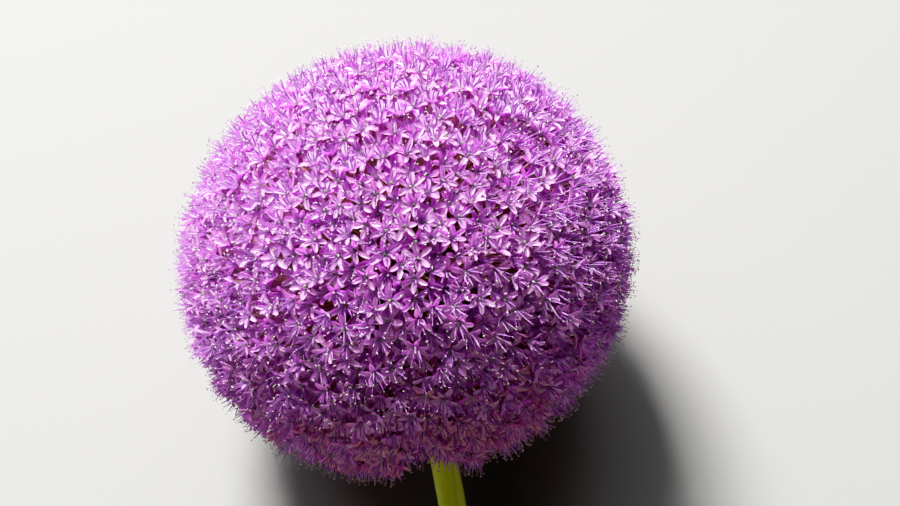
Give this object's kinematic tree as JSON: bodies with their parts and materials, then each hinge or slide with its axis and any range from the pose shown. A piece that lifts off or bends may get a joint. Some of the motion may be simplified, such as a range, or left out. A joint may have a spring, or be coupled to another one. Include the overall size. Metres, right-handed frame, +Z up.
{
  "type": "allium flower head",
  "caption": "Round allium flower head of densely packed star-shaped purple florets with long stamens, picked with a short green stem and lying on its side.",
  "frame": {"origin": "centre of the lying flower's outer box, on the surface it rests on", "axes": "+Z up; the crown of the flower points to +Y and up, and the cut stem slopes down towards -Y; +X to the right, seen from the stem's side"},
  "size_m": [0.1482, 0.195, 0.1376],
  "materials": {
    "florets": "satin petals, lilac to violet, with cream anthers and pale green ovaries",
    "green_stem": "smooth olive green plant skin, faintly streaked along its length"
  },
  "bodies": {
    "root": {"flower_head": "florets", "stem": "green_stem"}
  },
  "joints": []
}
